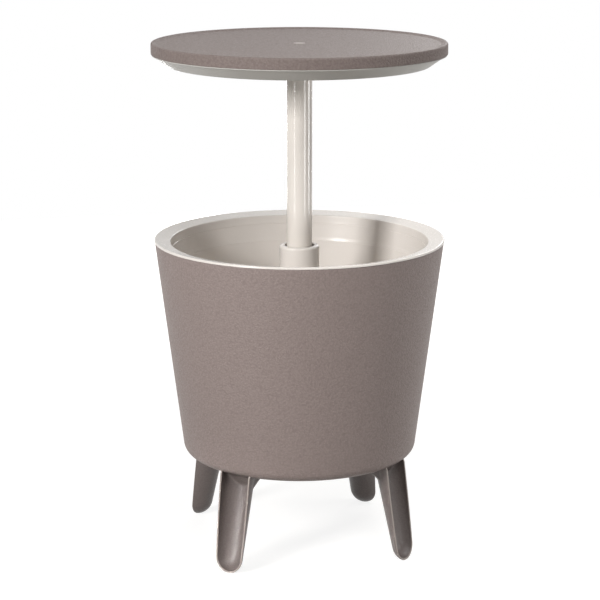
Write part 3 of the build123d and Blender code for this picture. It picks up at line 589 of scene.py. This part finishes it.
def pale_gloss(light, shade, roughness, wave_mm, shine):
    """Smooth pale plastic: slow waves in the wall, fine scuffs in the gloss, and a slow drift of colour."""
    def sockets(tree):
        place = add(tree, "TexCoord").outputs["Object"]
        waves = add(tree, "TexNoise", {"Vector": place, "Scale": 1000 / wave_mm, "Detail": 1.0})
        scuffs = add(tree, "TexNoise", {"Vector": place, "Scale": 1000 / SCUFF_MM, "Detail": 4.0,
                                        "Roughness": 0.65})
        bump = add(tree, "Bump", {"Strength": WAVE_STRENGTH, "Distance": WAVE_RELIEF,
                                  "Height": waves.outputs["Fac"]})
        share = add(tree, "MapRange", {"Value": waves.outputs["Fac"], "From Min": NOISE_SPAN[0],
                                       "From Max": NOISE_SPAN[1]})
        colour = add(tree, "MixRGB", {0: share.outputs["Result"], 1: srgb(light), 2: srgb(shade)})
        rough = add(tree, "MapRange", {"Value": scuffs.outputs["Fac"],
                                       "From Min": NOISE_SPAN[0], "From Max": NOISE_SPAN[1],
                                       "To Min": roughness + SCUFF_GLOSS[0],
                                       "To Max": roughness + SCUFF_GLOSS[1]})
        return {"Base Color": colour.outputs[0], "Roughness": rough.outputs["Result"],
                "Normal": bump.outputs["Normal"], "IOR": POLYPROPYLENE_IOR, "Specular IOR Level": shine}
    return sockets


# Polypropylene from a polished mould: warm off-white, a soft sheen that shows the lamps as blurred bands.
pale_liner = finish_tree("pale_polypropylene_satin", pale_gloss("#E5DED7", "#E1DAD3", 0.24, 70, 0.5))
turned_piece("bucket_liner", [
    (RIM_RADIUS, SHELL_TOP, TRIM_ROUND),
    (RIM_RADIUS, RIM_TOP, RIM_ROUND),
    (flange_radius, flange_z, FLANGE_ROUND),
    (ledge_radius, ledge_z + LEDGE_RAMP, 0),
    (ledge_radius - LEDGE_STEP, ledge_z, 0),
    (ledge_radius - LEDGE_STEP + GROOVE_DEPTH, ledge_z - GROOVE_WIDTH / 2, 0),
    (ledge_radius - LEDGE_STEP, ledge_z - GROOVE_WIDTH, 0),
    (shelf_radius, shelf_z + SHELF_RAMP, 0),
    (shelf_radius - SHELF_STEP, shelf_z, 0),
    (shelf_radius - SHELF_STEP + GROOVE_DEPTH, shelf_z - GROOVE_WIDTH / 2, 0),
    (shelf_radius - SHELF_STEP, shelf_z - GROOVE_WIDTH, 0),
    (floor_radius, bowl_floor, LINER_FLOOR_ROUND),
    (COLUMN_RADIUS, bowl_floor, COLUMN_FOOT_ROUND),
    (COLUMN_RADIUS, column_top, COLUMN_EDGE_ROUND),
    (MOUTH_RADIUS, column_top, MOUTH_ROUND),
    (MOUTH_RADIUS, column_top - MOUTH_THICKNESS, 0),
    (COLUMN_BORE, column_top - MOUTH_THICKNESS, 0),
    (COLUMN_BORE, bowl_under, TRIM_ROUND),
    (floor_radius + LINER_WALL, bowl_under, LINER_FLOOR_ROUND),
    (flange_radius + LINER_WALL, flange_under + LINER_WALL * flange_slope, 0),
    (spigot_inner, flange_under + (spigot_inner - flange_radius) * flange_slope, 0),
    (spigot_inner, SHELL_TOP - SPIGOT_DEPTH, TRIM_ROUND),
    (spigot_radius, SHELL_TOP - SPIGOT_DEPTH, TRIM_ROUND),
    (spigot_radius, SHELL_TOP, 0),
], pale_liner, "base", ["inner_liner"], drill([DRAIN_PLACE], [
    (0, bowl_under - LINER_WALL, 0),
    (DRAIN_HOLE_RADIUS, bowl_under - LINER_WALL, 0),
    (DRAIN_HOLE_RADIUS, bowl_floor + LINER_WALL, 0),
    (0, bowl_floor + LINER_WALL, 0),
]))

# Drain: a flanged pipe and nut of the liner's plastic, with a rubber seal, and a rubber stopper from below.
# The nut pulls the pipe's flange down on its seal, and the stopper has a finger tab and an O-ring.
PALE_DRAIN_NODES = ("drain_pipe", "drain_nut")
RUBBER_NODES = ("drain_seal", "drain_plug", "plug_ring")
RUBBER_ROUGHNESS = (0.58, 0.8)
RUBBER_RELIEF = 0.0001
RUBBER_STRENGTH = 0.35
RUBBER_IOR = 1.52


def rubbery(light, dark, speck_mm):
    """Moulded rubber: specks of bloom that lighten it, and a dull uneven skin."""
    def sockets(tree):
        place = add(tree, "TexCoord").outputs["Object"]
        specks = add(tree, "TexNoise", {"Vector": place, "Scale": 1000 / speck_mm, "Detail": 5.0,
                                        "Roughness": 0.6})
        colour = add(tree, "MixRGB", {0: specks.outputs["Fac"], 1: srgb(dark), 2: srgb(light)})
        bump = add(tree, "Bump", {"Strength": RUBBER_STRENGTH, "Distance": RUBBER_RELIEF,
                                  "Height": specks.outputs["Fac"]})
        rough = add(tree, "MapRange", {"Value": specks.outputs["Fac"], "To Min": RUBBER_ROUGHNESS[0],
                                       "To Max": RUBBER_ROUGHNESS[1]})
        return {"Base Color": colour.outputs[0], "Roughness": rough.outputs["Result"],
                "Normal": bump.outputs["Normal"], "IOR": RUBBER_IOR}
    return sockets


# Moulded rubber: charcoal grey and dull.
grey_rubber = finish_tree("charcoal_rubber_moulded", rubbery("#4A4745", "#353231", 0.9))
finish_nodes(PALE_DRAIN_NODES, pale_liner)
finish_nodes(RUBBER_NODES, grey_rubber)

# Post: a drawn steel tube, powder-coated off-white, that carries the table.
# Near its lower end it has a groove for the spring clip that holds the guide.
POST_WALL = 0.002
POST_EDGE_ROUND = 0.0005
CLIP_BITE = 0.0007
COAT_DRIFT = 12.0            # clouds for each metre
COAT_RELIEF = 0.00004
COAT_STRENGTH = 0.3
COAT_GLOSS = 0.03
COAT_IOR = 1.5

post_low, post_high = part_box("post_tube")
clip_low, clip_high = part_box("post_clip")
post_radius = post_high.x
post_bore = post_radius - POST_WALL


def coated(light, shade, peel_mm, roughness):
    """Powder coat: a shallow orange-peel relief, and a faint drift of tone where the coat is thicker."""
    def sockets(tree):
        place = add(tree, "TexCoord").outputs["Object"]
        peel = add(tree, "TexNoise", {"Vector": place, "Scale": 1000 / peel_mm, "Detail": 2.0})
        drift = add(tree, "TexNoise", {"Vector": place, "Scale": COAT_DRIFT, "Detail": 2.0})
        colour = add(tree, "MixRGB", {0: drift.outputs["Fac"], 1: srgb(light), 2: srgb(shade)})
        bump = add(tree, "Bump", {"Strength": COAT_STRENGTH, "Distance": COAT_RELIEF,
                                  "Height": peel.outputs["Fac"]})
        rough = add(tree, "MapRange", {"Value": peel.outputs["Fac"], "To Min": roughness - COAT_GLOSS,
                                       "To Max": roughness + COAT_GLOSS})
        return {"Base Color": colour.outputs[0], "Roughness": rough.outputs["Result"],
                "Normal": bump.outputs["Normal"], "IOR": COAT_IOR}
    return sockets


# Powder coat: warm off-white, half glossy, so lamps show on the tube as narrow upright lines.
# Its orange peel, about 1 mm, is drawn at 2.5 mm.
post_coat = finish_tree("off_white_powder_coat", coated("#E7E0D8", "#E3DCD4", 2.5, 0.14))
turned_piece("post", [
    (post_bore, post_low.z, POST_EDGE_ROUND),
    (post_radius, post_low.z, POST_EDGE_ROUND),
    (post_radius, clip_low.z, 0),
    (post_radius - CLIP_BITE, clip_low.z, 0),
    (post_radius - CLIP_BITE, clip_high.z, 0),
    (post_radius, clip_high.z, 0),
    (post_radius, post_high.z, POST_EDGE_ROUND),
    (post_bore, post_high.z, POST_EDGE_ROUND),
], post_coat, "table", ["post_tube"])

# Table top: a round plate with a raised lip and a skirt, injection-moulded in the bucket's taupe plastic.
# Its mould has the same pebble grain. A hub below takes the post, and the bolt goes down through its middle.
SKIRT_WALL = 0.003
TABLE_EDGE_ROUND = 0.001
TABLE_OUTER_ROUND = 0.0033
DISH_RISE = 0.008            # how far the dish stands up inside the skirt
TABLE_RECESS = 0.0027
TABLE_LIP_WIDTH = 0.012
TABLE_LIP_FLAT = 0.0045
TABLE_LIP_FOOT_ROUND = 0.0045
TABLE_PLATE = 0.0032
HUB_WALL = 0.0045
HUB_DEPTH = 0.026
HUB_FLOOR = 0.0112
HUB_FOOT_ROUND = 0.003
POST_SLIDE_GAP = 0.0001
BOLT_HOLE_RADIUS = 0.0043
WASHER_GAP = 0.0003
CAP_GAP = 0.0002

table_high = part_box("table_top")[1]
washer_low, washer_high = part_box("post_washer")
cap_low, cap_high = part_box("centre_cap")
table_radius = table_high.x
table_top_z = table_high.z
skirt_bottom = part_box("table_underside")[1].z - DISH_RISE
surface_z = table_top_z - TABLE_RECESS
plate_under = surface_z - TABLE_PLATE
post_hole = post_radius + POST_SLIDE_GAP
hub_radius = post_hole + HUB_WALL

# The bucket's plastic, rubbed dull by use: almost no sheen, and glints only on the rounded edge. Its colour
# is painted darker than the bucket's, as shade on the table.
# Its pebbles, about 1.5 mm like the bucket's, are drawn at 3.6 mm.
taupe_table_shaded = finish_tree("taupe_polypropylene_rubbed_shaded", grained("#746864", "#837772", 3.6, 1.8, 0.5, 0.15))
turned_piece("table", [
    (cap_high.x + CAP_GAP, cap_low.z, 0),
    (cap_high.x + CAP_GAP, surface_z, TRIM_ROUND),
    (table_radius - TABLE_LIP_WIDTH, surface_z, TABLE_LIP_FOOT_ROUND),
    (table_radius - TABLE_LIP_FLAT, table_top_z, TABLE_EDGE_ROUND),
    (table_radius, table_top_z, TABLE_OUTER_ROUND),
    (table_radius, skirt_bottom, TABLE_EDGE_ROUND),
    (table_radius - SKIRT_WALL, skirt_bottom, TRIM_ROUND),
    (table_radius - SKIRT_WALL, plate_under, SKIRT_WALL),
    (hub_radius, plate_under, HUB_FOOT_ROUND),
    (hub_radius, surface_z - HUB_DEPTH, TRIM_ROUND),
    (post_hole, surface_z - HUB_DEPTH, TRIM_ROUND),
    (post_hole, surface_z - HUB_FLOOR, 0),
    (BOLT_HOLE_RADIUS, surface_z - HUB_FLOOR, 0),
    (BOLT_HOLE_RADIUS, washer_low.z, 0),
    (washer_high.x + WASHER_GAP, washer_low.z, 0),
    (washer_high.x + WASHER_GAP, cap_low.z, 0),
], taupe_table_shaded, "table", ["table_top"])

# Dish: the pale lid under the table, which closes the bowl when the table is down. It is moulded in the
# liner's plastic, slips into the skirt with a small lip, and is held by eight flush screws.
DISH_WALL = 0.0026
DISH_LIP_HEIGHT = 0.0016
DISH_LIP_STEP = 0.0007
DISH_LIP_INSET = 0.0012
DISH_FLAT_INSET = 0.001
DISH_EDGE_ROUND = 0.005
DISH_HOLE_GAP = 0.0003
SCREW_COUNT = 8
SCREW_INSET = 0.0225
SCREW_HEAD_RADIUS = 0.0039
SCREW_RADIUS = 0.002
SCREW_HEAD_HEIGHT = 0.002
SCREW_GAP = 0.00005

dish_low, dish_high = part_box("table_underside")
dish_rim = dish_high.x
dish_cone = dish_rim - DISH_LIP_STEP
dish_flat = flange_radius - DISH_FLAT_INSET
dish_cone_z = skirt_bottom - DISH_LIP_HEIGHT
dish_slope = np.arctan((dish_cone_z - dish_low.z) / (dish_cone - dish_flat))
dish_inner_flat = dish_flat - DISH_WALL * np.tan(dish_slope / 2)
dish_inner_rise = (dish_rim - DISH_WALL - dish_inner_flat) * np.tan(dish_slope)
screw_ring = dish_flat - SCREW_INSET
screw_angle = 2 * np.pi * np.arange(SCREW_COUNT) / SCREW_COUNT
screw_places = np.stack([screw_ring * np.cos(screw_angle), screw_ring * np.sin(screw_angle)], -1)

# The liner's plastic from a dull mould, with weak highlights. Its colour is painted grey, darker than the
# liner's, as the shade under the table.
pale_matt_shaded = finish_tree("pale_polypropylene_matt_shaded", pale_gloss("#BFBCB7", "#BBB8B3", 0.42, 70, 0.25))
turned_piece("table_dish", [
    (dish_rim, dish_high.z, TRIM_ROUND),
    (dish_rim, skirt_bottom, 0),
    (table_radius - DISH_LIP_INSET, skirt_bottom, 0),
    (table_radius - DISH_LIP_INSET, dish_cone_z, TRIM_ROUND),
    (dish_cone, dish_cone_z, 0),
    (dish_flat, dish_low.z, DISH_EDGE_ROUND),
    (post_radius + DISH_HOLE_GAP, dish_low.z, TRIM_ROUND),
    (post_radius + DISH_HOLE_GAP, dish_low.z + DISH_WALL, 0),
    (dish_inner_flat, dish_low.z + DISH_WALL, DISH_EDGE_ROUND),
    (dish_rim - DISH_WALL, dish_low.z + DISH_WALL + dish_inner_rise, 0),
    (dish_rim - DISH_WALL, dish_high.z, TRIM_ROUND),
], pale_matt_shaded, "table", ["table_underside"], drill(screw_places, [
    (0, dish_low.z - DISH_WALL, 0),
    (SCREW_HEAD_RADIUS + SCREW_GAP, dish_low.z - DISH_WALL, 0),
    (SCREW_HEAD_RADIUS + SCREW_GAP, dish_low.z, 0),
    (SCREW_RADIUS + SCREW_GAP, dish_low.z + SCREW_HEAD_HEIGHT, 0),
    (SCREW_RADIUS + SCREW_GAP, dish_low.z + 2 * DISH_WALL, 0),
    (0, dish_low.z + 2 * DISH_WALL, 0),
]))

# Centre cap: a small plain plug, injection-moulded in light taupe polypropylene.
# It is pressed flush into the middle of the table, over the bolt.
CAP_EDGE_ROUND = 0.0004

# The dish's plastic in a light taupe: as dull as the table, and only a little paler.
taupe_cap = finish_tree("light_taupe_polypropylene", pale_gloss("#A3978F", "#9D918A", 0.42, 70, 0.25))
cap_points = turned(rounded([
    (0, cap_high.z, 0),
    (cap_high.x, cap_high.z, CAP_EDGE_ROUND),
    (cap_high.x, cap_low.z, 0),
    (0, cap_low.z, 0),
], closed=False))
make_piece("table_cap", cap_points, lattice(*cap_points.shape[:2], wrap_columns=False), taupe_cap,
           "table", ["centre_cap"])

# Studio: a white floor that runs into a white surround, soft lamps, and the camera of the photograph.
# The key lamp is at the front left. Weaker ones all round fill its shadows, a strip draws the line down the
# post, and a small spot lights a leg. From 3 m, 88.8 W would show white paper that faces the lamp as white.
FLOOR_SIZE = 6.0
FLOOR_PAINT = "#95938F"      # what the floor throws back on the table
FLOOR_GLOW = (0.85, 1.0)     # near the table and far away, as the eye sees it
FLOOR_NEAR = 0.45
FLOOR_FAR = 1.7
SKY_FILL = 0.05              # the surround as a source of light, where 1 is how it looks
VIEW_TURN = np.radians(-11.6)
VIEW_DISTANCE = 3.3243
VIEW_HEIGHT = 1.2178
VIEW_PITCH = 0.2337
PHOTO_SIDE = 600
PHOTO_FOCAL = 1990.5
PHOTO_MIDDLE = 299.4
SENSOR = 36.0


def facing(turn, rise, distance, aim):
    """A place at a distance from an aim, turned to the right of the camera and risen above the horizon."""
    heading = VIEW_TURN + turn
    away = Vector((np.sin(heading) * np.cos(rise), -np.cos(heading) * np.cos(rise), np.sin(rise)))
    return Vector(aim) + away * distance


def lamp(name, turn, rise, distance, aim, width, height, power, spread=180):
    """A rectangular soft lamp that faces its aim: angles in degrees, lengths in metres, power in watts.
    Turn and rise are as in facing, and a smaller spread narrows its beam."""
    light = bpy.data.lights.new(name, "AREA")
    light.shape = "RECTANGLE"
    light.size = width
    light.size_y = height
    light.energy = power
    light.spread = np.radians(spread)
    made = bpy.data.objects.new(name, light)
    made.location = facing(np.radians(turn), np.radians(rise), distance, aim)
    made.rotation_euler = (Vector(aim) - made.location).to_track_quat("-Z", "Y").to_euler()
    bpy.context.scene.collection.objects.link(made)


lamp("key_lamp", -40, 22, 3.0, (0, 0, 0.5), 0.6, 0.7, 73)
lamp("front_lamp", 18, 45, 3.0, (0, 0, 0.45), 0.8, 0.8, 19)
lamp("top_lamp", 85, 70, 3.0, (0, 0, 0.45), 1.0, 1.0, 27)
lamp("low_right_lamp", 95, 0, 3.0, (0, 0, 0.27), 1.0, 0.5, 14)
lamp("front_right_lamp", 50, 0, 3.0, (0, 0, 0.27), 0.6, 0.5, 9)
lamp("back_right_lamp", 165, 22, 3.0, (0, 0, 0.45), 0.6, 0.7, 10)
lamp("high_back_lamp", 180, 34, 3.0, (0, 0, 0.5), 2.0, 0.5, 6)
lamp("low_back_lamp", -175, 0, 3.0, (0, 0, 0.24), 0.9, 0.45, 24)
lamp("strip_lamp", -44, 0, 2.6, (0, 0, 0.26), 0.22, 0.5, 3.6)
lamp("leg_lamp", -66, 8, 1.2, (-0.15, -0.15, 0.01), 0.2, 0.2, 0.11, spread=14)

floor_mesh = bpy.data.meshes.new("studio_floor")
half = FLOOR_SIZE / 2
floor_corners = [(-half, -half, 0), (half, -half, 0), (half, half, 0), (-half, half, 0)]
floor_mesh.from_pydata(floor_corners, [], [(0, 1, 2, 3)])
studio_floor = bpy.data.objects.new("studio_floor", floor_mesh)
bpy.context.scene.collection.objects.link(studio_floor)

# White paint: matt to the lamps. Its glow is seen by the camera and in reflections, and lights nothing.
floor_paint = bpy.data.materials.new("white_floor_paint")
floor_paint.use_nodes = True
floor_tree = floor_paint.node_tree
floor_tree.nodes.clear()
floor_ray = add(floor_tree, "LightPath")
floor_matt = add(floor_tree, "BsdfDiffuse", {"Color": srgb(FLOOR_PAINT)})
floor_seen = add(floor_tree, "Math", {0: floor_ray.outputs["Is Camera Ray"],
                                      1: floor_ray.outputs["Is Glossy Ray"]}, operation="MAXIMUM")
floor_place = add(floor_tree, "TexCoord").outputs["Object"]
floor_away = add(floor_tree, "VectorMath", {0: floor_place}, operation="LENGTH")
floor_level = add(floor_tree, "MapRange", {"Value": floor_away.outputs["Value"],
                                           "From Min": FLOOR_NEAR, "From Max": FLOOR_FAR,
                                           "To Min": FLOOR_GLOW[0], "To Max": FLOOR_GLOW[1]})
floor_lift = add(floor_tree, "Math", {0: floor_seen.outputs[0], 1: floor_level.outputs["Result"]},
                 operation="MULTIPLY")
floor_glow = add(floor_tree, "Emission", {"Color": srgb("#FFFFFF"), "Strength": floor_lift.outputs[0]})
floor_both = add(floor_tree, "AddShader", {0: floor_matt.outputs[0], 1: floor_glow.outputs[0]})
add(floor_tree, "OutputMaterial", {"Surface": floor_both.outputs[0]})
floor_mesh.materials.append(floor_paint)

# White surround: it is seen as plain white, and fills the shadows only a little.
studio = bpy.data.worlds.new("studio")
bpy.context.scene.world = studio
studio.use_nodes = True
sky = studio.node_tree
sky.nodes.clear()
sky_ray = add(sky, "LightPath")
sky_shown = add(sky, "Math", {0: sky_ray.outputs["Is Camera Ray"], 1: sky_ray.outputs["Is Glossy Ray"]},
                operation="MAXIMUM")
sky_seen = add(sky, "Math", {0: sky_shown.outputs[0], 1: sky_ray.outputs["Is Transmission Ray"]},
               operation="MAXIMUM")
sky_level = add(sky, "MapRange", {"Value": sky_seen.outputs[0], "To Min": SKY_FILL, "To Max": 1.0})
sky_light = add(sky, "Background", {"Color": srgb("#FFFFFF"), "Strength": sky_level.outputs["Result"]})
add(sky, "OutputWorld", {"Surface": sky_light.outputs[0]})

eye = bpy.data.cameras.new("photo_camera")
eye.sensor_width = SENSOR
eye.lens = SENSOR * PHOTO_FOCAL / PHOTO_SIDE
eye.shift_x = (PHOTO_SIDE / 2 - PHOTO_MIDDLE) / PHOTO_SIDE
camera = bpy.data.objects.new("photo_camera", eye)
camera.location = facing(0, 0, VIEW_DISTANCE, (0, 0, VIEW_HEIGHT))
camera.rotation_euler = (np.pi / 2 - VIEW_PITCH, 0, VIEW_TURN)
bpy.context.scene.collection.objects.link(camera)
bpy.context.scene.camera = camera
